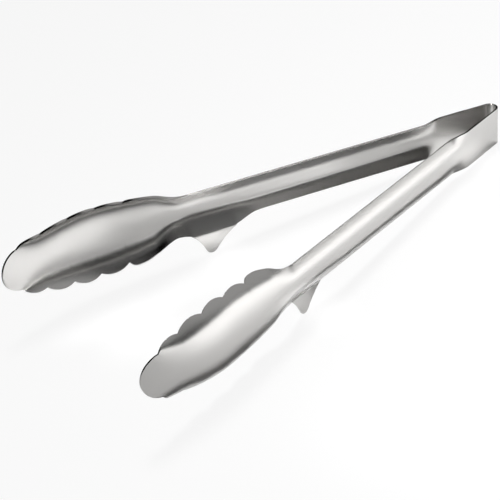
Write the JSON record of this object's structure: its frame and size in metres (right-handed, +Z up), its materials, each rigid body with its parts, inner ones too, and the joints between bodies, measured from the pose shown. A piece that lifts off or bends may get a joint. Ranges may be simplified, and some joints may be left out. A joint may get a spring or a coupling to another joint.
{
  "type": "kitchen tongs",
  "caption": "Sprung kitchen tongs pressed from one strip of steel, with channel handles, scalloped spoon-like jaws and feet that keep the jaws off the table.",
  "frame": {"origin": "centre of the bounding box in plan, on the table that the feet and the bow rest on", "axes": "+X from the jaws towards the closed end with the bow, +Y from the near arm towards the far arm, +Z up from the table"},
  "size_m": [0.27, 0.1192, 0.0514],
  "materials": {
    "steel": "polished, slightly satin"
  },
  "bodies": {
    "bow": {"spring_bow": "steel"},
    "near_leaf": {"near_leaf": "steel"},
    "far_leaf": {"far_leaf": "steel"},
    "near_arm": {"near_handle": "steel", "near_jaw": "steel", "near_foot": "steel"},
    "far_arm": {"far_handle": "steel", "far_jaw": "steel", "far_foot": "steel"}
  },
  "joints": [
    {"name": "near_leaf_flex", "type": "hinge", "parent": "bow", "child": "near_leaf", "pos_m": [0.12672, -0.00412, 0.01094], "axis": [-0.0907, 0, -0.9959], "range_deg": [0, 6.15], "stiffness_Nm_per_rad": 12.8},
    {"name": "near_arm_flex", "type": "hinge", "parent": "near_leaf", "child": "near_arm", "pos_m": [0.11027, -0.00814, 0.01244], "axis": [-0.0907, 0, -0.9959], "range_deg": [0, 6.15], "stiffness_Nm_per_rad": 12.8},
    {"name": "far_leaf_flex", "type": "hinge", "parent": "bow", "child": "far_leaf", "pos_m": [0.12672, 0.00412, 0.01094], "axis": [0.0907, 0, 0.9959], "range_deg": [0, 6.15], "stiffness_Nm_per_rad": 12.8},
    {"name": "far_arm_flex", "type": "hinge", "parent": "far_leaf", "child": "far_arm", "pos_m": [0.11027, 0.00814, 0.01244], "axis": [0.0907, 0, 0.9959], "range_deg": [0, 6.15], "stiffness_Nm_per_rad": 12.8}
  ],
  "couplings": [
    {"joint": "near_leaf_flex", "follows": "near_arm_flex", "ratio": 1},
    {"joint": "far_leaf_flex", "follows": "near_arm_flex", "ratio": 1},
    {"joint": "far_arm_flex", "follows": "near_arm_flex", "ratio": 1}
  ]
}
